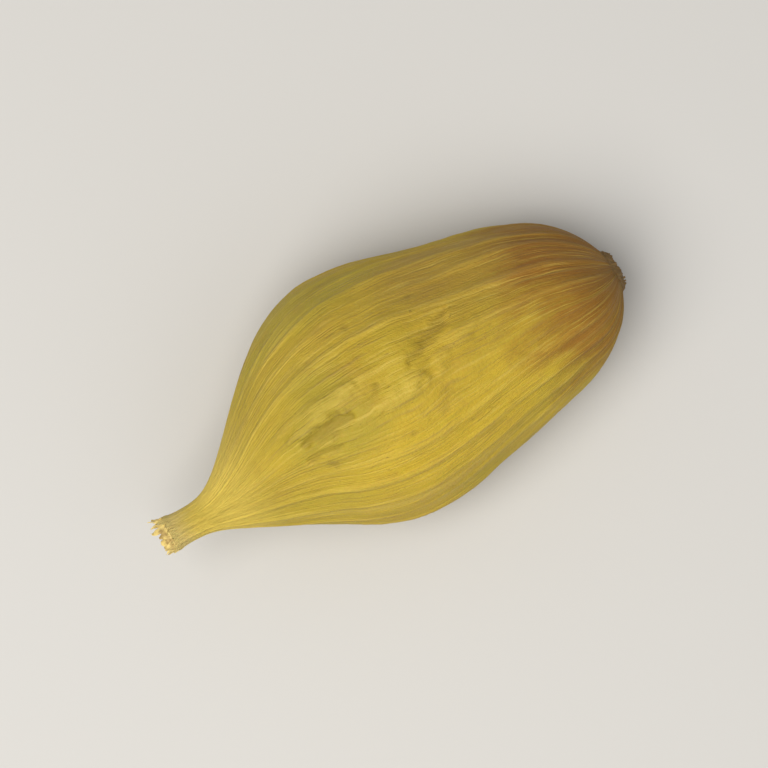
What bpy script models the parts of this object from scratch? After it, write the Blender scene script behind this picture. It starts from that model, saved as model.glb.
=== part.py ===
"""A dried green cardamom pod, lying on one of its three faces with a ridge up.

The pod grew as one piece, so it is one closed solid. Rings of points run along
a slightly bowed spine, from the dried flower tip (the beak, at -X) to the short
stalk (at +X). Each ring through the husk is a rounded triangle, whose corners
are the three main ridges, and finer nerves stand out between them.
Lengths are metres and +Z is up.
"""

import math

import bmesh
import bpy
from mathutils import Vector, noise

# Driving dimensions of the pod
POD_LENGTH = 0.0150
POD_WIDTH = 0.0075
SECTION_SQUASH = 0.93
BEAK_RADIUS = 0.00048
BEAK_FLARE = 0.00005
BEAK_HOLLOW = 0.00045
STALK_RADIUS = 0.00048
STALK_HOLLOW = 0.00008
REST_FLAT_DEPTH = 0.00022

# Where things are along the pod, as shares of its length from the beak's tip
BEAK_FOOT = 0.030
BEAK_NECK = 0.050
WIDEST_AT = 0.490
HUSK_END = 0.988

# How full the outline is in front of and behind its widest place
FRONT_POWER = 1.50
END_POWER = 2.06
BACK_STRAIGHTENING = 0.08
ROOT_BLEND = 3.0

# The spine steps sideways behind the beak and partly back at the stalk, leans down
# towards the stalk, as the face that the pod lies on does, and droops at the beak
SPINE_STEP = 0.00075
SPINE_STEP_FROM = 0.09
SPINE_STEP_RUN = 0.25
SPINE_RETURN = 0.00020
SPINE_RETURN_FROM = 0.80
BEAK_DROOP = 0.00045
BEAK_DROOP_RUN = 0.40
SPINE_LEAN = math.tan(math.radians(5.5))
TWIST = math.radians(7.0)

# The rounded triangle of the husk, and how soon it starts behind each end
RIDGES = 3
CORNER = 0.095
CORNER_EDGE = 0.022
CORNERS_FROM_BEAK = 0.32
CORNERS_FROM_STALK = 0.16

# Fine nerves along the husk. Each wander is an angle, waves around and turns along.
# They fade by a share of their height, in waves around that turn along the husk.
NERVES = 21
NERVE_HEIGHT = 0.00009
NERVE_SHARPNESS = 2.5
NERVE_FULL_RADIUS = 0.0020
NERVE_WANDERS = ((0.030, 2, 5.0), (0.016, 5, -8.0))
NERVE_FADE = 0.25
NERVE_FADE_WAVES = 4
NERVE_FADE_TURN = 5.0

# Keels on the three ridges, low knobs where seeds press on the crest, soft dents
KEEL_HEIGHT = 0.00007
KEEL_SHARPNESS = 6
KNOB_HEIGHT = 0.00005
KNOB_PITCH = 0.105
KNOB_SHARPNESS = 24
KNOBS_FROM = 0.25
KNOBS_TO = 0.72
KNOBS_FADE = 0.15
DENT_DEPTH = 0.00012
DENTS_ALONG = 4.5
DENTS_AROUND = 1.5
DENT_SEED = Vector((3.7, 1.3, 8.2))

# Small rings inside each end, as shares of its radius and of its hollow's depth
BEAK_DISH = ((0.45, 0.80), (0.78, 0.15))
STALK_DISH = ((0.86, -0.20), (0.50, 0.70))

# Fineness of the mesh
POINTS_AROUND = 105
FRONT_RINGS = 23
FRONT_RING_SPREAD = 1.1
BACK_RINGS = 22
STALK_RINGS = 3

HUSK_COLOUR = (0.50, 0.36, 0.065, 1.0)
HUSK_ROUGHNESS = 0.62


def clear_scene():
    """Remove the objects that a new file opens with."""
    for thing in list(bpy.data.objects):
        bpy.data.objects.remove(thing, do_unlink=True)


def ease(value):
    """Rise smoothly from 0 to 1 while value does."""
    value = min(max(value, 0.0), 1.0)
    return value * value * (3.0 - 2.0 * value)


def husk_half_width(t):
    """Half the husk's width at share t of the length, without beak or stalk."""
    if t <= BEAK_FOOT or t >= HUSK_END:
        return 0.0
    if t < WIDEST_AT:
        run = (t - BEAK_FOOT) / (WIDEST_AT - BEAK_FOOT)
        share = math.sin(run * math.pi / 2) ** FRONT_POWER
    else:
        run = (t - WIDEST_AT) / (HUSK_END - WIDEST_AT)
        share = (1.0 - run**END_POWER) ** (1.0 / END_POWER)
        share *= 1.0 - BACK_STRAIGHTENING * math.sin(math.pi * run) ** 2
    return share * POD_WIDTH / 2


def end_radius(t):
    """Radius of the beak in front and of the stalk behind."""
    if t > WIDEST_AT:
        return STALK_RADIUS
    return BEAK_RADIUS + BEAK_FLARE * ease(1.0 - t / BEAK_NECK)


def half_width(t):
    """Half width of the whole pod, with the husk running softly into both ends."""
    husk = husk_half_width(t) ** ROOT_BLEND
    end = end_radius(t) ** ROOT_BLEND
    return (husk + end) ** (1.0 / ROOT_BLEND)


def three_sided(t):
    """How three-sided the section is: 0 on the beak and the stalk, 1 on the husk."""
    front = ease((t - BEAK_FOOT) / CORNERS_FROM_BEAK)
    return front * ease((HUSK_END - t) / CORNERS_FROM_STALK)


def spine_point(t):
    """Centre of the section at share t of the length."""
    sideways = SPINE_STEP * ease((t - SPINE_STEP_FROM) / SPINE_STEP_RUN)
    sideways -= SPINE_RETURN * ease((t - SPINE_RETURN_FROM) / (1.0 - SPINE_RETURN_FROM))
    lengthways = (t - 0.5) * POD_LENGTH
    droop = BEAK_DROOP * (1.0 - ease(t / BEAK_DROOP_RUN))
    return Vector((lengthways, sideways, -SPINE_LEAN * lengthways - droop))


def section_radius(angle, corners):
    """Rounded triangle with a corner straight up, before it is brought to width."""
    turn = angle - math.pi / 2
    edge = CORNER_EDGE * math.cos(2 * RIDGES * turn)
    return 1.0 + corners * (CORNER * math.cos(RIDGES * turn) + edge)


def section_reach(corners):
    """How far the rounded triangle reaches sideways."""
    angles = (2 * math.pi * i / POINTS_AROUND for i in range(POINTS_AROUND))
    return max(section_radius(a, corners) * math.cos(a) for a in angles)


def nerve_height(t, turn, radius):
    """Height of the fine nerves, lower where the pod is thin."""
    wander = sum(w * math.sin(n * turn + along * t) for w, n, along in NERVE_WANDERS)
    crest = 0.5 + 0.5 * math.cos(NERVES * (turn + wander))
    fade = 0.5 + 0.5 * math.sin(NERVE_FADE_WAVES * turn + NERVE_FADE_TURN * t)
    thin = min(radius / NERVE_FULL_RADIUS, 1.0)
    return NERVE_HEIGHT * thin * (1.0 - NERVE_FADE * fade) * crest**NERVE_SHARPNESS


def knob_height(t, turn):
    """Low knobs in a row along the crest."""
    crest = max(math.cos(turn), 0.0) ** KNOB_SHARPNESS
    stretch = ease((t - KNOBS_FROM) / KNOBS_FADE) * ease((KNOBS_TO - t) / KNOBS_FADE)
    return KNOB_HEIGHT * crest * stretch * math.sin(2 * math.pi * t / KNOB_PITCH)


def relief(t, angle, radius):
    """Height of nerves, keels, knobs and dents above the smooth husk."""
    turn = angle - math.pi / 2
    keel = KEEL_HEIGHT * max(math.cos(RIDGES * turn), 0.0) ** KEEL_SHARPNESS
    around = Vector((0.0, math.cos(angle), math.sin(angle))) * DENTS_AROUND
    along = Vector((DENTS_ALONG * t, 0.0, 0.0))
    dent = DENT_DEPTH * noise.noise(along + around + DENT_SEED)
    husk = three_sided(t)
    return nerve_height(t, turn, radius) + knob_height(t, turn) + husk * (keel + dent)


def ring_stations():
    """Shares of the length at which the rings stand, closer near both ends."""
    front = [
        WIDEST_AT * (i / FRONT_RINGS) ** FRONT_RING_SPREAD for i in range(FRONT_RINGS)
    ]
    husk_run = HUSK_END - WIDEST_AT
    back = [
        WIDEST_AT + husk_run * math.sin(i / BACK_RINGS * math.pi / 2)
        for i in range(BACK_RINGS + 1)
    ]
    stalk = [
        HUSK_END + (1.0 - HUSK_END) * (i + 1) / STALK_RINGS for i in range(STALK_RINGS)
    ]
    return front + back + stalk


def ring_points(t, shrink=1.0, shift=0.0):
    """Points of one ring. shrink and shift give the small rings in the end dishes."""
    centre = spine_point(t) + Vector((shift, 0.0, 0.0))
    corners = three_sided(t)
    reach = section_reach(corners)
    squash = 1.0 + (SECTION_SQUASH - 1.0) * corners
    width = half_width(t)
    points = []
    for i in range(POINTS_AROUND):
        angle = 2 * math.pi * i / POINTS_AROUND
        shaped = angle + TWIST * (t - 0.5) * corners
        radius = width * section_radius(shaped, corners) / reach
        radius = (radius + relief(t, shaped, width)) * shrink
        across = radius * math.cos(angle)
        upward = radius * math.sin(angle) * squash
        points.append(centre + Vector((0.0, across, upward)))
    return points


def pod_rings():
    """All rings from the bottom of the beak's hollow to the stalk's cut end."""
    rings = [ring_points(0.0, share, depth * BEAK_HOLLOW) for share, depth in BEAK_DISH]
    rings += [ring_points(t) for t in ring_stations()]
    rings += [ring_points(1.0, share, -depth * STALK_HOLLOW) for share, depth in STALK_DISH]
    return rings


def settle(points):
    """Press the lowest part of the husk flat and put that flat at height zero.

    The box round the pod is then centred on the origin.
    """
    floor = min(p.z for p in points) + REST_FLAT_DEPTH
    middle_x = (min(p.x for p in points) + max(p.x for p in points)) / 2
    middle_y = (min(p.y for p in points) + max(p.y for p in points)) / 2
    for p in points:
        p.z = max(p.z - floor, 0.0)
        p.x -= middle_x
        p.y -= middle_y


def loft(rings, first_pole, last_pole):
    """Join the rings into one closed mesh, with a fan at each end."""
    mesh = bmesh.new()
    settle([p for ring in rings for p in ring] + [first_pole, last_pole])
    loops = [[mesh.verts.new(p) for p in ring] for ring in rings]
    first = mesh.verts.new(first_pole)
    last = mesh.verts.new(last_pole)
    for here, beyond in zip(loops, loops[1:]):
        for i in range(POINTS_AROUND):
            j = (i + 1) % POINTS_AROUND
            mesh.faces.new((here[i], here[j], beyond[j], beyond[i]))
    for i in range(POINTS_AROUND):
        j = (i + 1) % POINTS_AROUND
        mesh.faces.new((first, loops[0][j], loops[0][i]))
        mesh.faces.new((last, loops[-1][i], loops[-1][j]))
    bmesh.ops.triangulate(mesh, faces=mesh.faces)
    bmesh.ops.recalc_face_normals(mesh, faces=mesh.faces)
    return mesh


def husk_material():
    """Dry yellow-green husk."""
    material = bpy.data.materials.new("dry_green_husk")
    material.use_nodes = True
    shader = material.node_tree.nodes["Principled BSDF"]
    shader.inputs["Base Color"].default_value = HUSK_COLOUR
    shader.inputs["Roughness"].default_value = HUSK_ROUGHNESS
    shader.inputs["Metallic"].default_value = 0.0
    return material


def make_pod():
    """The whole pod: husk, beak and stalk in one solid."""
    beak_pole = spine_point(0.0) + Vector((BEAK_HOLLOW, 0.0, 0.0))
    stalk_pole = spine_point(1.0) - Vector((STALK_HOLLOW, 0.0, 0.0))
    solid = loft(pod_rings(), beak_pole, stalk_pole)
    mesh = bpy.data.meshes.new("cardamom_pod")
    solid.to_mesh(mesh)
    solid.free()
    mesh.shade_smooth()
    mesh.materials.append(husk_material())
    pod = bpy.data.objects.new("cardamom_pod", mesh)
    bpy.context.scene.collection.objects.link(pod)
    return pod


clear_scene()
make_pod()
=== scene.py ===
"""Looks of a dried green cardamom pod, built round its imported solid.

The husk is lofted by the rule of the solid, finer. A Geometry Nodes tree then
raises its nerves, fibres and wrinkles, and two more trees set the papery shreds
round the beak's rim and the fibre ends in the stalk's cut.
"""

import math

import bmesh
import bpy
from mathutils import Euler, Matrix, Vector, noise


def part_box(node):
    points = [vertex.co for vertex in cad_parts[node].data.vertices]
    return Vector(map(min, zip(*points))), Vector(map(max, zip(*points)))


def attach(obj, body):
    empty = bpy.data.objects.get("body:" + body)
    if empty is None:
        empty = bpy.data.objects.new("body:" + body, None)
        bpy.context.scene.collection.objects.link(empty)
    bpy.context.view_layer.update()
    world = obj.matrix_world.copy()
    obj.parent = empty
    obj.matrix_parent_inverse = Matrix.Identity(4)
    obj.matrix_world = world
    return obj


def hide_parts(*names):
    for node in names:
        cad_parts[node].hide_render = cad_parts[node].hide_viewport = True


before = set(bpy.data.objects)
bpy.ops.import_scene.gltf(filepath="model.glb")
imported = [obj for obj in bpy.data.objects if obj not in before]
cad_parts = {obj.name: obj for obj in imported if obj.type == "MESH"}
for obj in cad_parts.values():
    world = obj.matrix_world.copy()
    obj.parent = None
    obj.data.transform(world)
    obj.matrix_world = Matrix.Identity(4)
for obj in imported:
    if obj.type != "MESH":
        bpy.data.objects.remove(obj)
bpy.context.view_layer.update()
POD_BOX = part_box("cardamom_pod")
POD_LENGTH = POD_BOX[1].x - POD_BOX[0].x
BODY = "root"
NODE = "cardamom_pod"
MM = 0.001

bl_info = {
    "name": "Green cardamom pod",
    "version": (1, 0, 0),
    "blender": (4, 5, 0),
    "location": "3D View > Sidebar > Cardamom",
    "description": "Builds a dried green cardamom pod with its papery husk, beak and cut stalk",
    "category": "Add Mesh",
}

# Where things are along the pod, as shares of its length from the beak's tip
BEAK_FOOT = 0.030
BEAK_NECK = 0.050
WIDEST_AT = 0.490
HUSK_END = 0.988

# How full the outline is in front of and behind its widest place
FRONT_POWER = 1.50
END_POWER = 2.06
BACK_STRAIGHTENING = 0.08
ROOT_BLEND = 3.0

# The spine steps sideways behind the beak and partly back at the stalk, and leans
SPINE_STEP = 0.00075
SPINE_STEP_FROM = 0.09
SPINE_STEP_RUN = 0.25
SPINE_RETURN = 0.00020
SPINE_RETURN_FROM = 0.80
BEAK_DROOP = 0.00045
BEAK_DROOP_RUN = 0.40
SPINE_LEAN = math.tan(math.radians(5.5))
TWIST = math.radians(7.0)

# The rounded triangle of the husk, and how soon it starts behind each end
RIDGES = 3
CORNER = 0.095
CORNER_EDGE = 0.022
CORNERS_FROM_BEAK = 0.32
CORNERS_FROM_STALK = 0.16
SECTION_SQUASH = 0.93

# Keels on the ridges, knobs where seeds press on the crest, soft dents
KEEL_HEIGHT = 0.00007
KEEL_SHARPNESS = 6
KNOB_HEIGHT = 0.00005
KNOB_PITCH = 0.105
KNOB_SHARPNESS = 24
KNOBS_FROM = 0.25
KNOBS_TO = 0.72
KNOBS_FADE = 0.15
DENT_DEPTH = 0.00012
DENTS_ALONG = 4.5
DENTS_AROUND = 1.5
DENT_SEED = Vector((3.7, 1.3, 8.2))

# How much wider the stalk's foot is than its cut, and over what share of the length
COLLAR = 0.30
COLLAR_RUN = 0.012

# Fineness of the husk, the shape of the hollow in each end, and the share that its
# middle point takes of the nerves
POINTS_AROUND = 336
FRONT_RINGS = 140
FRONT_CROWDING = 1.05
BACK_RINGS = 120
STALK_RINGS = 10
DISH_RINGS = 9
DISH_POWER = 4
POLE_THIN = 0.2

# Noises on the husk: waves around it, waves along it, detail and roughness
GRAINS = {
    "nerve spread": (2.2, 1.5, 1.0, 0.5),
    "nerve shiver": (3.0, 14.0, 2.0, 0.5),
    "nerve breaks": (5.0, 3.0, 2.0, 0.5),
    "fibres": (16.0, 4.0, 3.0, 0.55),
    "cross wrinkles": (7.0, 34.0, 4.0, 0.6),
    "crumple": (5.0, 15.0, 3.0, 0.5),
    "seeds": (2.3, 7.5, 1.0, 0.5),
    "crease shake": (7.0, 20.0, 3.0, 0.6),
    "crease jolt": (6.0, 24.0, 3.0, 0.6),
    "scar lumps": (2.6, 50.0, 3.0, 0.6),
    "torn rim": (6.0, 0.0, 4.0, 0.6),
    "broad": (1.6, 5.0, 3.0, 0.5),
    "streak": (17.0, 3.5, 4.0, 0.6),
    "fleck": (24.0, 60.0, 3.0, 0.6),
    "mottle": (4.4, 13.0, 4.0, 0.65),
    "hair": (44.0, 7.0, 4.0, 0.6),
    "grain": (60.0, 150.0, 3.0, 0.6),
    "patch edge": (2.2, 6.0, 4.0, 0.6),
}

# How the nerves stray, in radians: each wander is an angle, waves around and turns
# along, and then their drift side by side and their fine shiver
NERVE_WANDERS = ((0.030, 2, 5.0), (0.016, 5, -8.0))
NERVE_SPREAD = 0.22
NERVE_SHIVER = 0.05

# How sharp the nerves are, from what radius of the pod they are full, how they fade
# round and along it, and how faint one gets at the values of its noise where it breaks
NERVE_SHARPNESS = 3.5
NERVE_FULL_RADIUS = 0.0020
NERVE_FADE = 0.25
NERVE_FADE_WAVES = 4
NERVE_FADE_TURN = 5.0
NERVE_LEAST = 0.25
NERVE_BROKEN = (0.34, 0.64)

# Wrinkles: how much a nerve smooths them, and how wide and strong the folds are
WRINKLE_UNDER_NERVE = 0.7
FOLD_REACH = 0.12
FOLD_SHARE = 0.8

# Where the husk is crumpled most, along it and as the cosine of the turn from the
# crest, and how much more it is wrinkled there
CRUMPLED_FROM = (0.24, 0.34)
CRUMPLED_TO = (0.56, 0.68)
CRUMPLED_NEAR = (0.55, 0.95)
CRUMPLED_MORE = 0.9

# Creases and small ridges near the crest, in millimetres: height, half width, and
# both ends as a distance down the lower face from the crest and one from the beak
CREST_RADIUS = 3.6
CREASES = (
    (-0.15, 0.40, (0.70, 4.70), (0.50, 6.10)),
    (0.10, 0.34, (0.20, 4.50), (-0.05, 6.50)),
    (-0.09, 0.26, (1.30, 4.60), (1.15, 5.60)),
    (0.12, 0.36, (0.85, 6.90), (0.45, 8.40)),
    (-0.12, 0.30, (0.10, 8.30), (-0.70, 9.90)),
    (0.07, 0.30, (0.60, 8.80), (-0.10, 10.40)),
    (-0.07, 0.26, (0.50, 6.50), (0.15, 7.60)),
)

# How far a crease strays, in millimetres, and in half widths how wide it is at its
# ends, four times what it gains by its middle, and where its soft edge stops
CREASE_STRAY = 0.9
CREASE_END_WIDTH = 0.4
CREASE_GAIN = 2.4
CREASE_EDGE = 1.2

# Where the stalk's scar begins and is fully rough, along the pod
SCAR = (0.982, 0.992)

# Where the relief starts and is full in an end's hollow, from its middle to its rim
RELIEF_IN_HOLLOW = (0.4, 1.0)

# The beak's torn rim: where it fades along the pod and in the hollow, how much is torn
# off everywhere beside what the noise takes, and the multiple of both
TORN_RUN = (0.0, 0.035)
TORN_IN_HOLLOW = (0.5, 1.0)
TORN_OFF = 0.2
TORN_RANGE = 2.0

# Shreds: points round one, rows up it, its tip, how flat it is, how it widens, and how
# far out on the beak's flare they stand
SHRED_POINTS = 12
SHRED_ROWS = 8
SHRED_TIP_RADIUS = 0.00002
SHRED_FLATNESS = 0.22
SHRED_WIDENING = 0.6
SHREDS_ON_FLARE = 0.2

# Ripples in a shred: their scale, how far they bend it and what share of its width
# they take, and the scale of the sway of its tip
RIPPLE_SCALE = 6500.0
RIPPLE_BEND = 0.00010
RIPPLE_WIDTH = 0.9
SWAY_SCALE = 3800.0

# What differs from shred to shred and fibre to fibre: least, most and seed
SHRED_LEAN = (-0.45, 0.20, 3)
SHRED_THICKNESS = (0.6, 1.1, 6)
SHRED_WIDTH = (0.45, 1.75, 7)
SHRED_LENGTH = (0.35, 1.35, 5)
FIBRE_SIZE = (0.55, 1.3, 4)

# Fibres in the cut: points round one, rows up it, its taper, its lean for each metre
# from the middle, and points on a square metre of the cut for each fibre asked for
FIBRE_POINTS = 7
FIBRE_ROWS = 3
FIBRE_TAPER = 0.55
FIBRE_LEAN = 500.0
FIBRE_DENSITY = 2.0e6

# The disc that the fibres stand on: points round it, and its share of the stalk's radius
CUT_POINTS = 24
CUT_SHARE = 0.82

# How deep the shreds and the fibre ends are rooted
BEAK_ROOT_DEPTH = 0.00026
STALK_ROOT_DEPTH = 0.00008

# Patches of colour and of painted light and shade: the turn from the crest and the share of the
# length of their middle, how far they reach each way in the same units, and how ragged their edge
# is
PATCHES = {
    # The lower face patch is painted light: it brightens the lower face
    "lower face": ((0.80, 0.64), (0.58, 0.32), 0.35),
    "upper face": ((-0.75, 0.76), (0.85, 0.22), 0.35),
    "upper edge": ((-1.25, 0.42), (0.50, 0.20), 0.35),
    # The hollow patch is painted shade: it darkens the creased hollow near the crest
    "hollow": ((0.10, 0.38), (0.50, 0.12), 0.60),
    "stalk end": ((-0.20, 0.98), (2.20, 0.25), 0.60),
}

# Where a patch starts and is full, as multiples of its reach
PATCH_EDGE = (1.1, 0.45)

# Coats over the husk's straw, some of them painted light and shade, in order: the colour, its
# share where it is full, what it follows, and for all but the patches the values there where it
# starts and is full
HUSK_COATS = (
    ("green", 0.55, "broad", 0.40, 0.80),
    # Painted light: the brighter yellow on the lower face patch
    ("painted_light_gold", 0.42, "lower face"),
    ("tan", 0.60, "upper face"),
    ("green", 0.60, "upper edge"),
    # Painted shade in the creased hollow near the crest (these two coats)
    ("green", 0.60, "hollow"),
    ("speck_and_shade", 0.16, "hollow"),
    ("tan", 0.30, "mottle", 0.50, 0.68),
    ("green", 0.25, "along", 0.50, 0.25),
    ("ochre", 0.88, "stalk end"),
    ("green", 0.30, "streak", 0.52, 0.74),
    ("nerve", 0.35, "streak", 0.46, 0.30),
    ("nerve", 0.16, "nerve", 0.15, 0.80),
    # Painted shade: darker in the troughs of the wrinkles
    ("speck_and_shade", 0.30, "wrinkle", -0.06, -0.30),
    # Painted shade in the creases and a painted highlight on their small ridges
    ("speck_and_shade", 0.28, "crease", -0.02, -0.12),
    ("nerve", 0.22, "crease", 0.01, 0.11),
    ("bark", 0.30, "hair", 0.54, 0.66),
    ("nerve", 0.40, "hair", 0.46, 0.34),
    ("speck_and_shade", 0.45, "fleck", 0.68, 0.76),
    # Pale neck behind the beak: partly its own colour, partly painted light against the shade that
    # falls on it
    ("nerve", 0.80, "along", 0.28, 0.06),
    ("neck", 0.78, "along", 0.23, 0.09),
    ("cream", 1.00, "ragged along", 0.075, 0.018),
    ("bark", 0.80, "along", 0.980, 0.990),
)

# How far the streaks draw out the edge of the cream, as a share of the pod's length
CREAM_RAGGEDNESS = 0.07

# Finish of the husk: roughness, what the streaks add and the nerves take off, gloss,
# light let through, and the height of the hairs and the grain's share beside them
HUSK_ROUGHNESS = 0.52
STREAK_ROUGHNESS = 0.18
NERVE_SMOOTHNESS = 0.06
HUSK_GLOSS = 0.27
HUSK_LIGHT_THROUGH = 0.04
HUSK_LIGHT_DEPTH = 0.4 * MM
HAIR_HEIGHT = 0.07 * MM
GRAIN_SHARE = 0.35

# Finish of the shreds and fibres: each of their two coats has its share where it is
# full, and the values of the blotches where it starts and is full
BLOTCH_SCALE = 2600.0
BLOTCH_DETAIL = 3.0
BLOTCH_HARSHNESS = 0.6
FIBRE_COATS = ((0.7, 0.45, 0.70), (0.6, 0.52, 0.68))
FIBRE_ROUGHNESS = 0.6
BLOTCH_ROUGHNESS = 0.2
FIBRE_GRAIN_SCALE = 9000.0
FIBRE_GRAIN_HEIGHT = 0.02 * MM
FIBRE_GRAIN_STRENGTH = 0.5

# Detail of the noises that bend the shreds and grain the fibres
FINE_DETAIL = 2.0

# Lights: place as seen in the picture (to the right, up, above the floor), size, tint
LIGHTS = {
    "key": ((-0.045, -0.045, 0.13), 0.12, (1.0, 0.97, 0.92)),
    "fill": ((0.10, -0.09, 0.12), 0.14, (0.95, 0.97, 1.0)),
}

# Floor and camera, with the lens and its sensor in millimetres as Blender takes them
FLOOR_HALF = 0.6
FLOOR_ROUGHNESS = 0.9
CAMERA_DISTANCE = 0.12
CAMERA_LENS = 200.0
CAMERA_SENSOR = 36.0
CAMERA_CLIP = (0.005, 10.0)


class PodShape(bpy.types.PropertyGroup):
    """Sizes of the pod's own parts."""

    husk_width: bpy.props.FloatProperty(
        name="Husk width", description="Across the husk at its widest",
        default=0.0075, min=0.004, max=0.012, subtype="DISTANCE", unit="LENGTH",
    )
    nerves: bpy.props.IntProperty(
        name="Nerves", description="Fine nerves round the husk, a multiple of three",
        default=21, min=9, max=36,
    )
    nerve_height: bpy.props.FloatProperty(
        name="Nerve height", description="How far a nerve stands out of the husk",
        default=0.000075, min=0.0, max=0.0003, subtype="DISTANCE", unit="LENGTH",
    )
    wrinkle_height: bpy.props.FloatProperty(
        name="Wrinkle height", description="Height of the wrinkles between the nerves",
        default=0.00005, min=0.0, max=0.0003, subtype="DISTANCE", unit="LENGTH",
    )
    beak_radius: bpy.props.FloatProperty(
        name="Beak radius", description="Radius of the dried flower tip",
        default=0.00048, min=0.0002, max=0.001, subtype="DISTANCE", unit="LENGTH",
    )
    beak_flare: bpy.props.FloatProperty(
        name="Beak flare", description="How much wider the beak's rim is than its neck",
        default=0.00005, min=0.0, max=0.0004, subtype="DISTANCE", unit="LENGTH",
    )
    beak_hollow: bpy.props.FloatProperty(
        name="Beak hollow", description="Depth of the hollow in the beak's tip",
        default=0.00045, min=0.0, max=0.001, subtype="DISTANCE", unit="LENGTH",
    )
    stalk_radius: bpy.props.FloatProperty(
        name="Stalk radius", description="Radius of the stalk's stub",
        default=0.00048, min=0.0002, max=0.001, subtype="DISTANCE", unit="LENGTH",
    )
    stalk_hollow: bpy.props.FloatProperty(
        name="Stalk hollow", description="Depth of the dish in the stalk's cut",
        default=0.00008, min=0.0, max=0.0004, subtype="DISTANCE", unit="LENGTH",
    )
    shreds: bpy.props.IntProperty(
        name="Beak shreds", description="Papery shreds round the beak's rim",
        default=17, min=0, max=40,
    )
    fibre_ends: bpy.props.IntProperty(
        name="Fibre ends", description="Fibres in the stalk's cut, less those too close together",
        default=34, min=0, max=120,
    )


class PodColours(bpy.types.PropertyGroup):
    """Colours of the pod, as linear values, some also used for painted light and shade."""

    straw: bpy.props.FloatVectorProperty(
        name="Straw", description="Main colour of the husk",
        default=(0.50, 0.343, 0.028), size=3, subtype="COLOR", min=0.0, max=1.0,
    )
    # Painted light: a brighter yellow that lights up the lower face
    painted_light_gold: bpy.props.FloatVectorProperty(
        name="Gold", description="Brighter yellow of the lower face",
        default=(0.68, 0.475, 0.030), size=3, subtype="COLOR", min=0.0, max=1.0,
    )
    # Also the colour of the painted shade in the creased hollow near the crest
    green: bpy.props.FloatVectorProperty(
        name="Green", description="Yellow-green shades, streaks and upper edge",
        default=(0.38, 0.310, 0.026), size=3, subtype="COLOR", min=0.0, max=1.0,
    )
    tan: bpy.props.FloatVectorProperty(
        name="Tan", description="Mottling, and the drier patch of the upper face",
        default=(0.38, 0.222, 0.036), size=3, subtype="COLOR", min=0.0, max=1.0,
    )
    ochre: bpy.props.FloatVectorProperty(
        name="Ochre", description="Brown blotch at the stalk end",
        default=(0.28, 0.112, 0.012), size=3, subtype="COLOR", min=0.0, max=1.0,
    )
    bark: bpy.props.FloatVectorProperty(
        name="Bark", description="Dry brown of the stalk's scar and the darker hairs",
        default=(0.25, 0.16, 0.065), size=3, subtype="COLOR", min=0.0, max=1.0,
    )
    # Also the colour of the painted highlight on the crease ridges and of the painted light on the
    # neck
    nerve: bpy.props.FloatVectorProperty(
        name="Nerve", description="Pale fibre of the nerves, streaks and hairs",
        default=(0.63, 0.465, 0.088), size=3, subtype="COLOR", min=0.0, max=1.0,
    )
    # Partly the neck's own paler colour, partly painted light against the shade that falls on the
    # neck
    neck: bpy.props.FloatVectorProperty(
        name="Neck", description="Bright husk that narrows into the beak",
        default=(0.82, 0.61, 0.100), size=3, subtype="COLOR", min=0.0, max=1.0,
    )
    cream: bpy.props.FloatVectorProperty(
        name="Cream", description="Dried flower tip",
        default=(0.78, 0.60, 0.20), size=3, subtype="COLOR", min=0.0, max=1.0,
    )
    # Small dark marks, and also the colour of the painted shade in the hollow, wrinkles and
    # creases
    speck_and_shade: bpy.props.FloatVectorProperty(
        name="Speck", description="Small dark marks",
        default=(0.13, 0.075, 0.018), size=3, subtype="COLOR", min=0.0, max=1.0,
    )


class StageSettings(bpy.types.PropertyGroup):
    """Floor, light and camera."""

    floor_colour: bpy.props.FloatVectorProperty(
        name="Floor", description="Colour of the plain floor",
        default=(0.57, 0.56, 0.54), size=3, subtype="COLOR", min=0.0, max=1.0,
    )
    key_power: bpy.props.FloatProperty(
        name="Key light", description="Power of the soft light from the lower left",
        default=0.23, min=0.0, max=10.0, unit="POWER",
    )
    fill_power: bpy.props.FloatProperty(
        name="Fill light", description="Power of the soft light from the lower right",
        default=0.05, min=0.0, max=10.0, unit="POWER",
    )
    sky: bpy.props.FloatProperty(
        name="Sky", description="Strength of the even light all round",
        default=0.37, min=0.0, max=2.0,
    )
    pod_tilt: bpy.props.FloatProperty(
        name="Pod tilt in view", description="How far the pod runs up to the right in the picture",
        default=math.radians(29.0), subtype="ANGLE", unit="ROTATION",
    )
    view_lean: bpy.props.FloatProperty(
        name="View lean", description="How far the camera leans from straight above",
        default=math.radians(6.0), subtype="ANGLE", unit="ROTATION",
    )


def ease(value):
    """Rise smoothly from 0 to 1 while value does."""
    value = min(max(value, 0.0), 1.0)
    return value * value * (3.0 - 2.0 * value)


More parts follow.
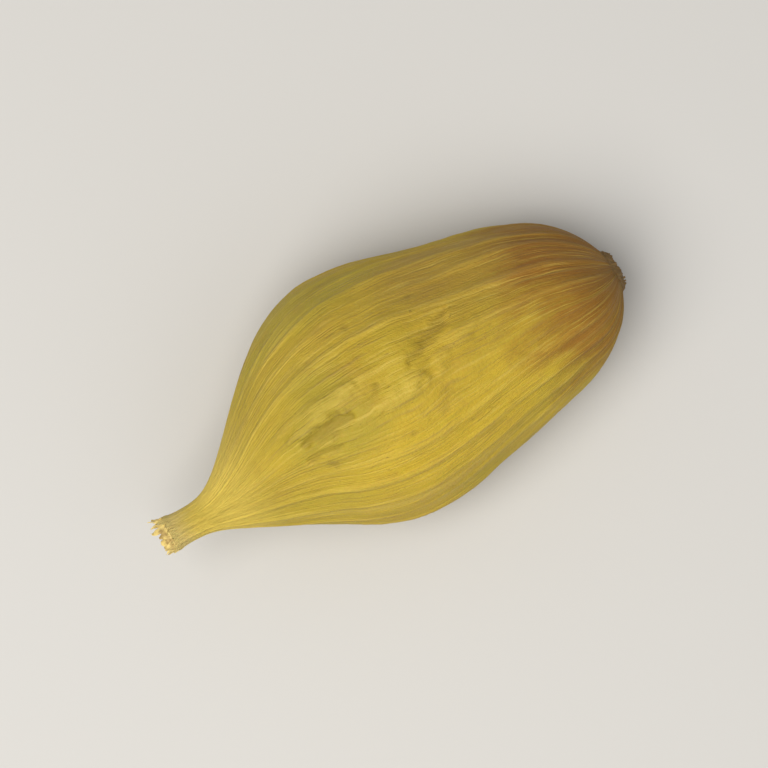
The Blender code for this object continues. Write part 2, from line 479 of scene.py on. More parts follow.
class Husk:
    """The smooth form of the pod as a rule: a point for each share and angle."""

    def __init__(self, shape):
        self.shape = shape

    def husk_half_width(self, t):
        """Half the husk's width at share t of the length, without beak or stalk."""
        if t <= BEAK_FOOT or t >= HUSK_END:
            return 0.0
        if t < WIDEST_AT:
            run = (t - BEAK_FOOT) / (WIDEST_AT - BEAK_FOOT)
            share = math.sin(run * math.pi / 2) ** FRONT_POWER
        else:
            run = (t - WIDEST_AT) / (HUSK_END - WIDEST_AT)
            share = (1.0 - run**END_POWER) ** (1.0 / END_POWER)
            share *= 1.0 - BACK_STRAIGHTENING * math.sin(math.pi * run) ** 2
        return share * self.shape.husk_width / 2

    def half_width(self, t):
        """Half width of the whole pod, with the husk running softly into both ends."""
        if t > WIDEST_AT:
            end = self.shape.stalk_radius * (1.0 + COLLAR * ease((1.0 - t) / COLLAR_RUN))
        else:
            end = self.shape.beak_radius + self.shape.beak_flare * ease(1.0 - t / BEAK_NECK)
        blended = self.husk_half_width(t) ** ROOT_BLEND + end**ROOT_BLEND
        return blended ** (1.0 / ROOT_BLEND)

    def three_sided(self, t):
        """0 on the beak and the stalk, 1 on the husk."""
        front = ease((t - BEAK_FOOT) / CORNERS_FROM_BEAK)
        return front * ease((HUSK_END - t) / CORNERS_FROM_STALK)

    def spine(self, t):
        """Centre of the section at share t of the length."""
        step = SPINE_STEP * ease((t - SPINE_STEP_FROM) / SPINE_STEP_RUN)
        step -= SPINE_RETURN * ease((t - SPINE_RETURN_FROM) / (1.0 - SPINE_RETURN_FROM))
        along = (t - 0.5) * POD_LENGTH
        droop = BEAK_DROOP * (1.0 - ease(t / BEAK_DROOP_RUN))
        return Vector((along, step, -SPINE_LEAN * along - droop))

    def section(self, angle, corners):
        """Rounded triangle with a corner straight up."""
        turn = angle - math.pi / 2
        edge = CORNER_EDGE * math.cos(2 * RIDGES * turn)
        return 1.0 + corners * (CORNER * math.cos(RIDGES * turn) + edge)

    def relief(self, t, angle, corners):
        """Keels, knobs and dents: what is too broad to leave to the node tree."""
        turn = angle - math.pi / 2
        keel = KEEL_HEIGHT * max(math.cos(RIDGES * turn), 0.0) ** KEEL_SHARPNESS
        around = Vector((0.0, math.cos(angle), math.sin(angle))) * DENTS_AROUND
        place = around + Vector((DENTS_ALONG * t, 0.0, 0.0)) + DENT_SEED
        dent = DENT_DEPTH * noise.noise(place)
        stretch = ease((t - KNOBS_FROM) / KNOBS_FADE) * ease((KNOBS_TO - t) / KNOBS_FADE)
        crest = max(math.cos(turn), 0.0) ** KNOB_SHARPNESS
        knob = KNOB_HEIGHT * crest * stretch * math.sin(2 * math.pi * t / KNOB_PITCH)
        return knob + corners * (keel + dent)

    def ring(self, t, shrink=1.0, shift=0.0):
        """Points of one ring, with the turn of each from the crest."""
        corners = self.three_sided(t)
        angles = [2 * math.pi * i / POINTS_AROUND for i in range(POINTS_AROUND)]
        reach = max(self.section(a, corners) * math.cos(a) for a in angles)
        squash = 1.0 + (SECTION_SQUASH - 1.0) * corners
        width = self.half_width(t)
        centre = self.spine(t) + Vector((shift, 0.0, 0.0))
        points = []
        for angle in angles:
            shaped = angle + TWIST * (t - 0.5) * corners
            radius = width * self.section(shaped, corners) / reach
            radius = (radius + self.relief(t, shaped, corners)) * shrink
            offset = Vector((0.0, math.cos(angle), math.sin(angle) * squash)) * radius
            points.append((centre + offset, shaped - math.pi / 2))
        return points


def ring_stations():
    """Shares of the length at which the husk's rings stand, closer near the ends."""
    front = [WIDEST_AT * (i / FRONT_RINGS) ** FRONT_CROWDING for i in range(FRONT_RINGS)]
    run = HUSK_END - WIDEST_AT
    back = [
        WIDEST_AT + run * math.sin(i / BACK_RINGS * math.pi / 2)
        for i in range(BACK_RINGS + 1)
    ]
    stalk = [HUSK_END + (1 - HUSK_END) * (i + 1) / STALK_RINGS for i in range(STALK_RINGS)]
    return front + back + stalk


def dish(husk, t, depth):
    """Rings of the hollow in an end, from the one round its middle out to its rim."""
    rings = []
    for i in range(1, DISH_RINGS):
        share = i / DISH_RINGS
        shift = depth * (1.0 - share**DISH_POWER)
        rings.append((t, share, shift, husk.ring(t, share, shift)))
    return rings


def close_end(mesh, loop, layers, t):
    """Fan from the middle of the smallest ring in an end."""
    pole = mesh.verts.new(sum((v.co for v in loop), Vector()) / len(loop))
    values = {"along": t, "turn": 0.0, "thin": POLE_THIN, "corners": 0.0, "rim": 0.0}
    for name, value in values.items():
        pole[layers[name]] = value
    for i in range(len(loop)):
        mesh.faces.new((pole, loop[i], loop[(i + 1) % len(loop)]))


def loft_husk(shape):
    """The smooth husk as a closed mesh, with where each point is on the pod."""
    husk = Husk(shape)
    rings = dish(husk, 0.0, shape.beak_hollow)
    rings += [(t, 1.0, 0.0, husk.ring(t)) for t in ring_stations()]
    rings += reversed(dish(husk, 1.0, -shape.stalk_hollow))
    mesh = bmesh.new()
    layers = {
        name: mesh.verts.layers.float.new(name)
        for name in ("along", "turn", "thin", "corners", "rim")
    }
    loops = []
    for t, share, shift, ring in rings:
        loop = []
        for point, turn in ring:
            vert = mesh.verts.new(point)
            vert[layers["along"]] = t
            vert[layers["turn"]] = turn
            vert[layers["thin"]] = min(husk.half_width(t) / NERVE_FULL_RADIUS, 1.0)
            vert[layers["corners"]] = husk.three_sided(t)
            vert[layers["rim"]] = share
            loop.append(vert)
        loops.append(loop)
    for here, beyond in zip(loops, loops[1:]):
        for i in range(POINTS_AROUND):
            j = (i + 1) % POINTS_AROUND
            mesh.faces.new((here[i], here[j], beyond[j], beyond[i]))
    close_end(mesh, loops[0], layers, 0.0)
    close_end(mesh, loops[-1], layers, 1.0)
    bmesh.ops.recalc_face_normals(mesh, faces=mesh.faces)
    return mesh


def both_ways(operation):
    """An operator of Value and its reflected form, each adding one Math node."""
    def forward(self, other):
        return self.graph.maths(operation, self, other)

    def reflected(self, other):
        return self.graph.maths(operation, other, self)

    return forward, reflected


class Value:
    """A number on a socket. Arithmetic on it adds Math nodes to its tree."""

    def __init__(self, graph, socket):
        self.graph = graph
        self.socket = socket

    __add__, __radd__ = both_ways("ADD")
    __sub__, __rsub__ = both_ways("SUBTRACT")
    __mul__, __rmul__ = both_ways("MULTIPLY")
    __truediv__, __rtruediv__ = both_ways("DIVIDE")
    __pow__, __rpow__ = both_ways("POWER")


class Graph:
    """A node tree that is written as expressions."""

    def __init__(self, tree):
        self.tree = tree

    def node(self, kind, settings=None, sockets=None, take=0):
        """Add a node of a type with its settings, fill its sockets, give one output."""
        made = self.tree.nodes.new(kind)
        for name, setting in (settings or {}).items():
            setattr(made, name, setting)
        for name, value in (sockets or {}).items():
            self.fill(made.inputs[name], value)
        return Value(self, made.outputs[take]) if len(made.outputs) else None

    def fill(self, socket, value):
        """Link a value to a socket, or set it there."""
        if isinstance(value, Value):
            self.tree.links.new(value.socket, socket)
        else:
            socket.default_value = value

    def maths(self, operation, *values):
        """A Math node."""
        sockets = dict(enumerate(values))
        return self.node("ShaderNodeMath", {"operation": operation}, sockets)

    def vector(self, operation, *values):
        """A Vector Math node whose result is a vector."""
        sockets = dict(enumerate(values))
        return self.node("ShaderNodeVectorMath", {"operation": operation}, sockets)

    def scaled(self, vector, amount):
        """A vector times a number."""
        sockets = {0: vector, "Scale": amount}
        return self.node("ShaderNodeVectorMath", {"operation": "SCALE"}, sockets)

    def combine(self, *parts):
        """A vector of its parts, with 0 for those left out."""
        return self.node("ShaderNodeCombineXYZ", None, dict(enumerate(parts)))

    def split(self, vector):
        """The three parts of a vector."""
        return [self.node("ShaderNodeSeparateXYZ", None, {0: vector}, i) for i in range(3)]

    def between(self, value, low, high):
        """0 where value is at low, 1 where it is at high, eased, and level beyond both."""
        settings = {"interpolation_type": "SMOOTHSTEP"}
        return self.node("ShaderNodeMapRange", settings, {0: value, 1: low, 2: high})

    def noise(self, place, scale, detail, roughness=0.5, take=0):
        """Soft noise round 0.5, as a number or, with take 1, as a vector."""
        sockets = {"Vector": place, "Scale": scale, "Detail": detail, "Roughness": roughness}
        return self.node("ShaderNodeTexNoise", None, sockets, take)

    def grain(self, name, place):
        """One of the husk's noises at a place on its sleeve."""
        around, along, detail, roughness = GRAINS[name]
        stretched = self.vector("MULTIPLY", place, (around, around, along))
        return self.noise(stretched, 1.0, detail, roughness)

    def sleeve(self, turn, along):
        """Seamless place on the husk: a unit circle round it and its length, in one vector."""
        return self.combine(self.maths("COSINE", turn), self.maths("SINE", turn), along)


class Relief(Graph):
    """A Geometry Nodes tree with named inputs that ends in a material."""

    def __init__(self, name, inputs):
        super().__init__(bpy.data.node_groups.new(name, "GeometryNodeTree"))
        face = self.tree.interface
        face.new_socket("Geometry", in_out="INPUT", socket_type="NodeSocketGeometry")
        self.identifiers = {}
        for label, value in inputs.items():
            kind = "NodeSocketInt" if isinstance(value, int) else "NodeSocketFloat"
            made = face.new_socket(label, in_out="INPUT", socket_type=kind)
            self.identifiers[label] = made.identifier
        face.new_socket("Geometry", in_out="OUTPUT", socket_type="NodeSocketGeometry")
        self.values = inputs

    def input(self, label):
        """One of the tree's named inputs."""
        return self.node("NodeGroupInput", take=label)

    def carried(self, name):
        """A number that the points carry."""
        settings = {"data_type": "FLOAT"}
        return self.node("GeometryNodeInputNamedAttribute", settings, {"Name": name})

    def keep(self, geometry, name, value, kind="FLOAT"):
        """Store a value on the points under a name."""
        settings = {"data_type": kind, "domain": "POINT"}
        sockets = {"Geometry": geometry, "Name": name, "Value": value}
        return self.node("GeometryNodeStoreNamedAttribute", settings, sockets)

    def chance(self, low, high, seed):
        """A random number for each point, the same in each run."""
        sockets = {2: low, 3: high, "Seed": seed}
        return self.node("FunctionNodeRandomValue", {"data_type": "FLOAT"}, sockets, 1)

    def turned(self, vector, across):
        """Rotation that points Z along vector and turns X towards across."""
        kind = "FunctionNodeAlignRotationToVector"
        aim = self.node(kind, {"axis": "Z"}, {"Vector": vector})
        settings = {"axis": "X", "pivot_axis": "Z"}
        return self.node(kind, settings, {"Rotation": aim, "Vector": across})

    def cone(self, points, rows, foot, tip, length):
        """A slim cone that stands on its foot, for a shred or a fibre."""
        return self.node("GeometryNodeMeshCone", None, {
            "Vertices": points, "Side Segments": rows,
            "Radius Bottom": foot, "Radius Top": tip, "Depth": length,
        })

    def end(self, geometry, material):
        """Realize what is instanced, set the material and close the tree."""
        solid = self.node("GeometryNodeRealizeInstances", None, {"Geometry": geometry})
        sockets = {"Geometry": solid, "Material": material}
        painted = self.node("GeometryNodeSetMaterial", None, sockets)
        self.node("NodeGroupOutput", None, {"Geometry": painted})

    def apply(self, thing):
        """Run the tree on an object and leave it with the plain mesh that comes out."""
        modifier = thing.modifiers.new(self.tree.name, "NODES")
        modifier.node_group = self.tree
        for label, value in self.values.items():
            modifier[self.identifiers[label]] = value
        bpy.context.view_layer.update()
        depsgraph = bpy.context.evaluated_depsgraph_get()
        mesh = bpy.data.meshes.new_from_object(
            thing.evaluated_get(depsgraph), preserve_all_data_layers=True, depsgraph=depsgraph
        )
        mesh.name = thing.name
        thing.modifiers.remove(modifier)
        thing.data = mesh
        mesh.shade_smooth()


class Finish(Graph):
    """A material whose shader is fed by expressions."""

    def __init__(self, name):
        self.material = bpy.data.materials.new(name)
        self.material.use_nodes = True
        super().__init__(self.material.node_tree)
        self.shader = self.tree.nodes["Principled BSDF"]

    def feed(self, label, value):
        """Link a value to one of the shader's sockets, or set it there."""
        self.fill(self.shader.inputs[label], value)

    def carried(self, name, take="Fac"):
        """A number that the points carry or, with take "Vector", a vector."""
        return self.node("ShaderNodeAttribute", {"attribute_name": name}, None, take)

    def mix(self, factor, first, second):
        """First colour where factor is 0, second where it is 1."""
        settings = {"data_type": "RGBA"}
        return self.node("ShaderNodeMix", settings, {0: factor, 6: first, 7: second}, 2)

    def bump(self, height, distance, strength=1.0):
        """Normal of the surface with a fine height on it."""
        sockets = {"Strength": strength, "Distance": distance, "Height": height}
        return self.node("ShaderNodeBump", None, sockets)


def combed_turn(tree, flat, turn, along):
    """Turn round the husk that follows its nerves as they wander."""
    wander = sum(
        w * tree.maths("SINE", n * turn + run * along) for w, n, run in NERVE_WANDERS
    )
    spread = tree.grain("nerve spread", flat) - 0.5
    shiver = tree.grain("nerve shiver", flat) - 0.5
    return turn + wander + NERVE_SPREAD * spread + NERVE_SHIVER * shiver


def nerve_mask(tree, place, comb, turn, along):
    """1 on a strong nerve, less where it fades or breaks, 0 between the nerves."""
    fade = 0.5 + 0.5 * tree.maths("SINE", NERVE_FADE_WAVES * turn + NERVE_FADE_TURN * along)
    whole = tree.between(tree.grain("nerve breaks", place), *NERVE_BROKEN)
    strong = NERVE_LEAST + (1 - NERVE_LEAST) * whole
    return tree.carried("thin") * comb**NERVE_SHARPNESS * (1.0 - NERVE_FADE * fade) * strong


def wrinkle_mask(tree, place, comb, turn, along):
    """Wrinkles across the husk and folds, round 0, most where it is crumpled."""
    cross = tree.grain("cross wrinkles", place) - 0.5
    fold = FOLD_REACH - tree.maths("ABSOLUTE", tree.grain("crumple", place) - 0.5)
    crumpled = tree.between(along, *CRUMPLED_FROM) * (1 - tree.between(along, *CRUMPLED_TO))
    crumpled = crumpled * tree.between(tree.maths("COSINE", turn), *CRUMPLED_NEAR)
    wrinkle = cross * (1 - WRINKLE_UNDER_NERVE * comb) + FOLD_SHARE * fold
    return wrinkle * tree.carried("corners") * (1 + CRUMPLED_MORE * crumpled)


def crease(tree, across, along, width, start, end):
    """1 on a line of the husk, 0 away from it, thinner towards both of its ends."""
    run = (end[0] - start[0], end[1] - start[1])
    size = run[0] ** 2 + run[1] ** 2
    x = across - start[0]
    y = along - start[1]
    share = tree.maths("MAXIMUM", (run[0] * x + run[1] * y) / size, 0.0)
    share = tree.maths("MINIMUM", share, 1.0)
    off_x = x - run[0] * share
    off_y = y - run[1] * share
    far = tree.maths("SQRT", off_x * off_x + off_y * off_y)
    reach = width * (CREASE_END_WIDTH + CREASE_GAIN * share * (1 - share))
    return 1 - tree.between(far / reach, 0.0, CREASE_EDGE)


def all_creases(tree, flat, turn, along):
    """Height of the creases and small ridges near the crest, in millimetres."""
    shake = tree.grain("crease shake", flat) - 0.5
    jolt = tree.grain("crease jolt", flat) - 0.5
    across = CREST_RADIUS * turn + CREASE_STRAY * shake
    length = along * (POD_LENGTH / MM) + CREASE_STRAY * jolt
    return sum(height * crease(tree, across, length, *rest) for height, *rest in CREASES)


def torn_rim(tree, flat, along, rim):
    """How far the beak's rim is torn back at each place."""
    ragged = tree.grain("torn rim", flat) - 0.5
    beak_rim = (1 - tree.between(along, *TORN_RUN)) * tree.between(rim, *TORN_IN_HOLLOW)
    return tree.input("Rag") * (ragged + TORN_OFF) * beak_rim * TORN_RANGE


def husk_relief(shape, material):
    """Tree that raises nerves, fibres and wrinkles on the smooth husk."""
    tree = Relief("husk_relief", {
        "Nerves": shape.nerves,
        "Nerve height": shape.nerve_height,
        "Wrinkle height": shape.wrinkle_height,
        "Fibre height": 0.00006,
        "Seed height": 0.00012,
        "Scar height": 0.00028,
        "Rag": 0.00045,
    })
    turn = tree.carried("turn")
    along = tree.carried("along")
    rim = tree.carried("rim")
    flat = tree.sleeve(turn, along)
    combed = combed_turn(tree, flat, turn, along)
    place = tree.sleeve(combed, along)
    comb = 0.5 + 0.5 * tree.maths("COSINE", tree.input("Nerves") * combed)
    nerve = nerve_mask(tree, place, comb, turn, along)
    wrinkle = wrinkle_mask(tree, place, comb, turn, along)
    creases = all_creases(tree, flat, turn, along)
    fibre = tree.grain("fibres", place) - 0.5
    seeds = tree.grain("seeds", place) - 0.5
    lumps = tree.grain("scar lumps", flat) - 0.5
    height = tree.input("Nerve height") * nerve
    height = height + tree.input("Wrinkle height") * wrinkle
    height = height + tree.input("Fibre height") * fibre * tree.carried("thin")
    height = height + tree.input("Seed height") * seeds * tree.carried("corners")
    height = height + tree.input("Scar height") * lumps * tree.between(along, *SCAR)
    height = (height + creases * MM) * tree.between(rim, *RELIEF_IN_HOLLOW)
    push = tree.scaled(tree.node("GeometryNodeInputNormal"), height)
    pull = tree.combine(torn_rim(tree, flat, along, rim))
    geometry = tree.keep(tree.input("Geometry"), "nerve", nerve)
    geometry = tree.keep(geometry, "wrinkle", wrinkle)
    geometry = tree.keep(geometry, "crease", creases)
    geometry = tree.keep(geometry, "sleeve", flat, "FLOAT_VECTOR")
    geometry = tree.keep(geometry, "combed", place, "FLOAT_VECTOR")
    moved = tree.node("GeometryNodeSetPosition", None, {
        "Geometry": geometry, "Offset": tree.vector("ADD", push, pull),
    })
    tree.end(moved, material)
    return tree


def curled_shred(tree, place, up):
    """One papery shred that stands on its foot: flat, curled and rippled."""
    blade = tree.cone(
        SHRED_POINTS, SHRED_ROWS, tree.input("Shred half width"), SHRED_TIP_RADIUS,
        tree.input("Shred length"),
    )
    x, y, z = tree.split(place)
    ripple = tree.noise(place, RIPPLE_SCALE, FINE_DETAIL) - 0.5
    bent = tree.combine(
        SHRED_FLATNESS * x + tree.input("Curl") * up * up + RIPPLE_BEND * ripple,
        y * (1.0 + SHRED_WIDENING * up) * (1.0 + RIPPLE_WIDTH * ripple),
        z,
    )
    return tree.node("GeometryNodeSetPosition", None, {"Geometry": blade, "Position": bent})


def beak_shreds(shape, material, tip):
    """Tree that sets curled papery shreds round the beak's rim."""
    tree = Relief("beak_shreds", {
        "Shreds": shape.shreds,
        "Rim radius": shape.beak_radius + SHREDS_ON_FLARE * shape.beak_flare,
        "Shred length": 0.00036,
        "Shred half width": 0.00013,
        "Curl": 0.00007,
        "Sway": 0.00034,
    })
    place = tree.node("GeometryNodeInputPosition")
    up = tree.split(place)[2] / tree.input("Shred length")
    rim = tree.node("GeometryNodeMeshCircle", None, {
        "Vertices": tree.input("Shreds"), "Radius": tree.input("Rim radius"),
    })
    outward = tree.vector("NORMALIZE", place)
    spread = tree.scaled(outward, tree.chance(*SHRED_LEAN))
    sizes = [tree.chance(*size) for size in (SHRED_THICKNESS, SHRED_WIDTH, SHRED_LENGTH)]
    sets = tree.node("GeometryNodeInstanceOnPoints", None, {
        "Points": rim, "Instance": curled_shred(tree, place, up),
        "Rotation": tree.turned(tree.vector("ADD", spread, (0.0, 0.0, 1.0)), outward),
        "Scale": tree.combine(*sizes),
    })
    solid = tree.node("GeometryNodeRealizeInstances", None, {"Geometry": sets})
    drift = tree.noise(place, SWAY_SCALE, FINE_DETAIL, take=1)
    drift = tree.vector("SUBTRACT", drift, (0.5, 0.5, 0.5))
    sway = tree.scaled(drift, tree.input("Sway") * tree.maths("MAXIMUM", up, 0.0))
    solid = tree.node("GeometryNodeSetPosition", None, {"Geometry": solid, "Offset": sway})
    geometry = tree.node("GeometryNodeTransform", None, {
        "Geometry": solid, "Rotation": (0.0, -math.pi / 2, 0.0), "Translation": tip,
    })
    tree.end(geometry, material)
    return tree


def stalk_fibres(shape, material, cut):
    """Tree that scatters fibre ends over the stalk's cut."""
    tree = Relief("stalk_fibres", {
        "Cut radius": shape.stalk_radius * CUT_SHARE,
        "Fibre radius": 0.000045,
        "Fibre length": 0.00020,
        "Spacing": 0.00013,
        "Density": shape.fibre_ends * FIBRE_DENSITY,
        "Seed": 11,
    })
    radius = tree.input("Fibre radius")
    fibre = tree.cone(
        FIBRE_POINTS, FIBRE_ROWS, radius, radius * FIBRE_TAPER, tree.input("Fibre length")
    )
    disc = tree.node("GeometryNodeMeshCircle", {"fill_type": "NGON"}, {
        "Vertices": CUT_POINTS, "Radius": tree.input("Cut radius"),
    })
    points = tree.node("GeometryNodeDistributePointsOnFaces", {"distribute_method": "POISSON"}, {
        "Mesh": disc, "Distance Min": tree.input("Spacing"),
        "Density Max": tree.input("Density"), "Seed": tree.input("Seed"),
    })
    place = tree.node("GeometryNodeInputPosition")
    lean = tree.vector("MULTIPLY", place, (FIBRE_LEAN, FIBRE_LEAN, 0.0))
    sets = tree.node("GeometryNodeInstanceOnPoints", None, {
        "Points": points, "Instance": fibre,
        "Rotation": tree.turned(tree.vector("ADD", lean, (0.0, 0.0, 1.0)), (1.0, 0.0, 0.0)),
        "Scale": tree.chance(*FIBRE_SIZE),
    })
    geometry = tree.node("GeometryNodeTransform", None, {
        "Geometry": sets, "Rotation": (0.0, math.pi / 2, 0.0), "Translation": cut,
    })
    tree.end(geometry, material)
    return tree


def colour(value):
    """A colour of the settings with full opacity."""
    return (value[0], value[1], value[2], 1.0)


def patch(finish, place, spot, reach, raggedness):
    """1 in a patch round a spot of the husk, 0 away from it, broken up at its edge."""
    turn, along = spot
    off = finish.vector("SUBTRACT", place, (math.cos(turn), math.sin(turn), along))
    off = finish.vector("MULTIPLY", off, (1 / reach[0], 1 / reach[0], 1 / reach[1]))
    far = finish.node("ShaderNodeVectorMath", {"operation": "LENGTH"}, {0: off}, "Value")
    rough = finish.grain("patch edge", place) - 0.5
    return finish.between(far + 2 * raggedness * rough, *PATCH_EDGE)


def husk_material(colours):
    """Dry papery husk: straw and green, pale nerves, ochre at the stalk, cream beak; painted light
    on the lower face and neck, painted shade in the hollow, creases and wrinkles, and painted
    highlights on the crease ridges.
    """
    finish = Finish("dry_green_husk")
    place = finish.carried("sleeve", "Vector")
    combed = finish.carried("combed", "Vector")
    masks = {name: finish.carried(name) for name in ("along", "nerve", "wrinkle", "crease")}
    masks.update({name: finish.grain(name, place) for name in ("broad", "fleck", "mottle")})
    masks.update({name: finish.grain(name, combed) for name in ("streak", "hair")})
    masks.update({name: patch(finish, place, *rest) for name, rest in PATCHES.items()})
    streak = masks["streak"]
    masks["ragged along"] = masks["along"] + CREAM_RAGGEDNESS * (streak - 0.5)
    paint = colour(colours.straw)
    for hue, share, follows, *limits in HUSK_COATS:
        mask = masks[follows]
        if limits:
            mask = finish.between(mask, *limits)
        paint = finish.mix(share * mask, paint, colour(getattr(colours, hue)))
    roughness = HUSK_ROUGHNESS + STREAK_ROUGHNESS * streak - NERVE_SMOOTHNESS * masks["nerve"]
    grain = masks["hair"] + GRAIN_SHARE * finish.grain("grain", combed)
    finish.feed("Base Color", paint)
    finish.feed("Roughness", roughness)
    finish.feed("Specular IOR Level", HUSK_GLOSS)
    finish.feed("Subsurface Weight", HUSK_LIGHT_THROUGH)
    finish.feed("Subsurface Scale", HUSK_LIGHT_DEPTH)
    finish.feed("Normal", finish.bump(grain, HAIR_HEIGHT))
    return finish.material


def fibre_material(name, pale, warm, dark):
    """Dry fibre in three colours, for the beak's shreds or the stalk's cut."""
    finish = Finish(name)
    place = finish.node("ShaderNodeTexCoord", take="Object")
    blotch = finish.noise(place, BLOTCH_SCALE, BLOTCH_DETAIL, BLOTCH_HARSHNESS)
    paint = colour(pale)
    for hue, (share, start, full) in zip((warm, dark), FIBRE_COATS):
        paint = finish.mix(share * finish.between(blotch, start, full), paint, colour(hue))
    grain = finish.noise(place, FIBRE_GRAIN_SCALE, FINE_DETAIL)
    finish.feed("Base Color", paint)
    finish.feed("Roughness", FIBRE_ROUGHNESS + BLOTCH_ROUGHNESS * blotch)
    finish.feed("Normal", finish.bump(grain, FIBRE_GRAIN_HEIGHT, FIBRE_GRAIN_STRENGTH))
    return finish.material


def pod_offset(thing):
    """Shift that centres the husk over the solid's box, with its crest at the box's top."""
    xs = [v.co.x for v in thing.data.vertices]
    ys = [v.co.y for v in thing.data.vertices]
    centre = (POD_BOX[0] + POD_BOX[1]) / 2
    top = max(v.co.z for v in thing.data.vertices)
    return Vector((
        centre.x - (min(xs) + max(xs)) / 2,
        centre.y - (min(ys) + max(ys)) / 2,
        POD_BOX[1].z - top,
    ))


def declare(thing):
    """Tell the frame what a finished piece rides on and stands for."""
    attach(thing, BODY)
    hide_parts(NODE)


def add_piece(scene, name, mesh, tree):
    """Link a piece under a name, run its tree on its mesh, and give it."""
    thing = bpy.data.objects.new(name, mesh)
    scene.collection.objects.link(thing)
    tree.apply(thing)
    return thing


class CARDAMOM_OT_husk(bpy.types.Operator):
    """Build the husk with its beak and stalk stub"""

    bl_idname = "cardamom.husk"
    bl_label = "Husk"

    def execute(self, context):
        scene = context.scene
        shape = scene.cardamom_shape
        smooth = loft_husk(shape)
        mesh = bpy.data.meshes.new("husk")
        smooth.to_mesh(mesh)
        smooth.free()
        tree = husk_relief(shape, husk_material(scene.cardamom_colours))
        thing = add_piece(scene, "husk", mesh, tree)
        shift = pod_offset(thing)
        for vert in thing.data.vertices:
            vert.co += shift
            # What would reach below the floor makes the flat that the pod rests on
            vert.co.z = max(vert.co.z, 0.0)
        scene["cardamom_shift"] = shift
        declare(thing)
        return {"FINISHED"}


class CARDAMOM_OT_beak(bpy.types.Operator):
    """Set the papery shreds round the beak's rim"""

    bl_idname = "cardamom.beak"
    bl_label = "Beak shreds"

    def execute(self, context):
        scene = context.scene
        shape = scene.cardamom_shape
        tip = Husk(shape).spine(0.0) + Vector(scene["cardamom_shift"])
        tip.x += BEAK_ROOT_DEPTH
        hues = scene.cardamom_colours
        material = fibre_material("beak_fibre", hues.cream, hues.tan, hues.bark)
        mesh = bpy.data.meshes.new("beak_shreds")
        declare(add_piece(scene, "beak_shreds", mesh, beak_shreds(shape, material, tip)))
        return {"FINISHED"}


class CARDAMOM_OT_stalk(bpy.types.Operator):
    """Scatter the fibre ends over the stalk's cut"""

    bl_idname = "cardamom.stalk"
    bl_label = "Stalk fibres"

    def execute(self, context):
        scene = context.scene
        shape = scene.cardamom_shape
        cut = Husk(shape).spine(1.0) + Vector(scene["cardamom_shift"])
        cut.x -= shape.stalk_hollow + STALK_ROOT_DEPTH
        hues = scene.cardamom_colours
        material = fibre_material("stalk_fibre", hues.bark, hues.tan, hues.speck_and_shade)
        mesh = bpy.data.meshes.new("stalk_fibres")
        declare(add_piece(scene, "stalk_fibres", mesh, stalk_fibres(shape, material, cut)))
        return {"FINISHED"}


def make_floor(scene, stage):
    """A plain pale floor under the pod."""
    mesh = bpy.data.meshes.new("floor")
    half = FLOOR_HALF
    corners = [(-half, -half, 0), (half, -half, 0), (half, half, 0), (-half, half, 0)]
    mesh.from_pydata(corners, [], [(0, 1, 2, 3)])
    floor = bpy.data.objects.new("floor", mesh)
    scene.collection.objects.link(floor)
    finish = Finish("plain_floor")
    finish.feed("Base Color", colour(stage.floor_colour))
    finish.feed("Roughness", FLOOR_ROUGHNESS)
    mesh.materials.append(finish.material)


def make_lights(scene, stage):
    """A large soft key from the lower left of the picture and a weaker fill."""
    yaw = Euler((0.0, 0.0, -stage.pod_tilt)).to_matrix()
    powers = {"key": stage.key_power, "fill": stage.fill_power}
    for name, (place, size, tint) in LIGHTS.items():
        lamp = bpy.data.lights.new(name, "AREA")
        lamp.size = size
        lamp.energy = powers[name]
        lamp.color = tint
        thing = bpy.data.objects.new(name, lamp)
        thing.location = yaw @ Vector(place)
        thing.rotation_euler = (-thing.location).to_track_quat("-Z", "Y").to_euler()
        scene.collection.objects.link(thing)


def make_sky(scene, stage):
    """An even white light all round, and colours shown as they are."""
    world = bpy.data.worlds.new("even_sky")
    world.use_nodes = True
    background = world.node_tree.nodes["Background"]
    background.inputs["Color"].default_value = (1.0, 1.0, 1.0, 1.0)
    background.inputs["Strength"].default_value = stage.sky
    scene.world = world
    scene.view_settings.view_transform = "Standard"


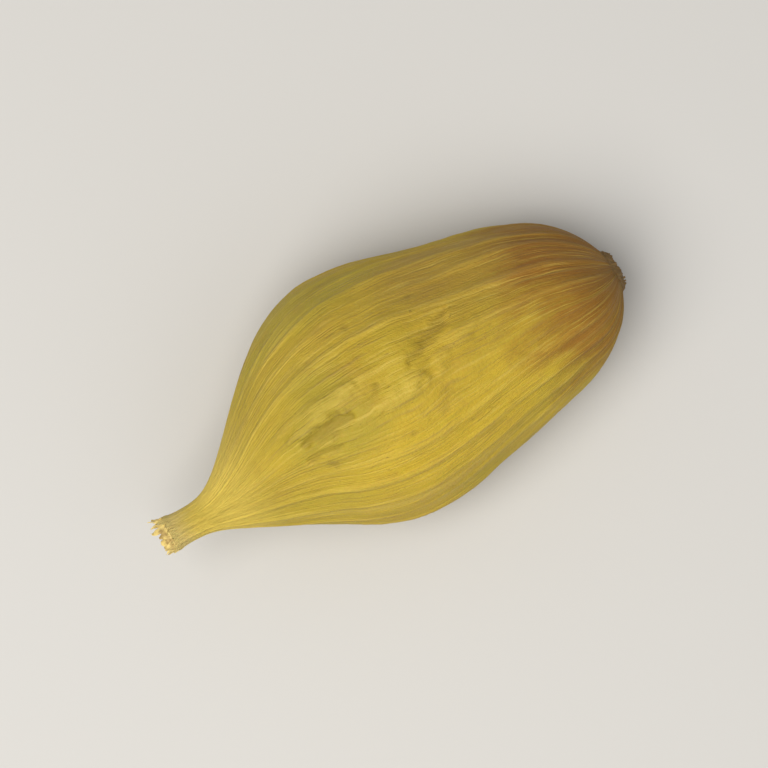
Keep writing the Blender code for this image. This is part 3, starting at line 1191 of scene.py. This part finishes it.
def make_camera(scene, stage):
    """Look down on the pod as the photograph does, beak at the lower left."""
    aim = (POD_BOX[0] + POD_BOX[1]) / 2
    spin = Euler((stage.view_lean, 0.0, -stage.pod_tilt), "XYZ")
    camera = bpy.data.cameras.new("camera")
    camera.lens = CAMERA_LENS
    camera.sensor_width = CAMERA_SENSOR
    camera.clip_start, camera.clip_end = CAMERA_CLIP
    thing = bpy.data.objects.new("camera", camera)
    thing.rotation_euler = spin
    thing.location = aim + spin.to_matrix() @ Vector((0.0, 0.0, CAMERA_DISTANCE))
    scene.collection.objects.link(thing)
    scene.camera = thing


class CARDAMOM_OT_stage(bpy.types.Operator):
    """Set the floor, the soft light and the camera"""

    bl_idname = "cardamom.stage"
    bl_label = "Stage"

    def execute(self, context):
        scene = context.scene
        for make in (make_floor, make_lights, make_sky, make_camera):
            make(scene, scene.cardamom_stage)
        return {"FINISHED"}


class CARDAMOM_PT_panel(bpy.types.Panel):
    """Sidebar panel with the pod's steps and settings"""

    bl_idname = "CARDAMOM_PT_panel"
    bl_label = "Cardamom pod"
    bl_space_type = "VIEW_3D"
    bl_region_type = "UI"
    bl_category = "Cardamom"

    def draw(self, context):
        for step in STEPS:
            self.layout.operator(step.bl_idname)
        for name, _ in GROUPS:
            group = getattr(context.scene, name)
            box = self.layout.box()
            for key in group.bl_rna.properties.keys():
                if key not in ("rna_type", "name"):
                    box.prop(group, key)


GROUPS = (
    ("cardamom_shape", PodShape),
    ("cardamom_colours", PodColours),
    ("cardamom_stage", StageSettings),
)
STEPS = (CARDAMOM_OT_husk, CARDAMOM_OT_beak, CARDAMOM_OT_stalk, CARDAMOM_OT_stage)


def register():
    """Add the pod's classes to Blender, and its settings to the scene."""
    for name, group in GROUPS:
        bpy.utils.register_class(group)
        setattr(bpy.types.Scene, name, bpy.props.PointerProperty(type=group))
    for step in STEPS + (CARDAMOM_PT_panel,):
        bpy.utils.register_class(step)


def unregister():
    """Take the pod's classes and settings away again."""
    for step in (CARDAMOM_PT_panel,) + STEPS[::-1]:
        bpy.utils.unregister_class(step)
    for name, group in GROUPS[::-1]:
        delattr(bpy.types.Scene, name)
        bpy.utils.unregister_class(group)


def main():
    """Build the pod and its stage."""
    register()
    bpy.ops.cardamom.husk()
    bpy.ops.cardamom.beak()
    bpy.ops.cardamom.stalk()
    bpy.ops.cardamom.stage()


if __name__ == "__main__":
    main()
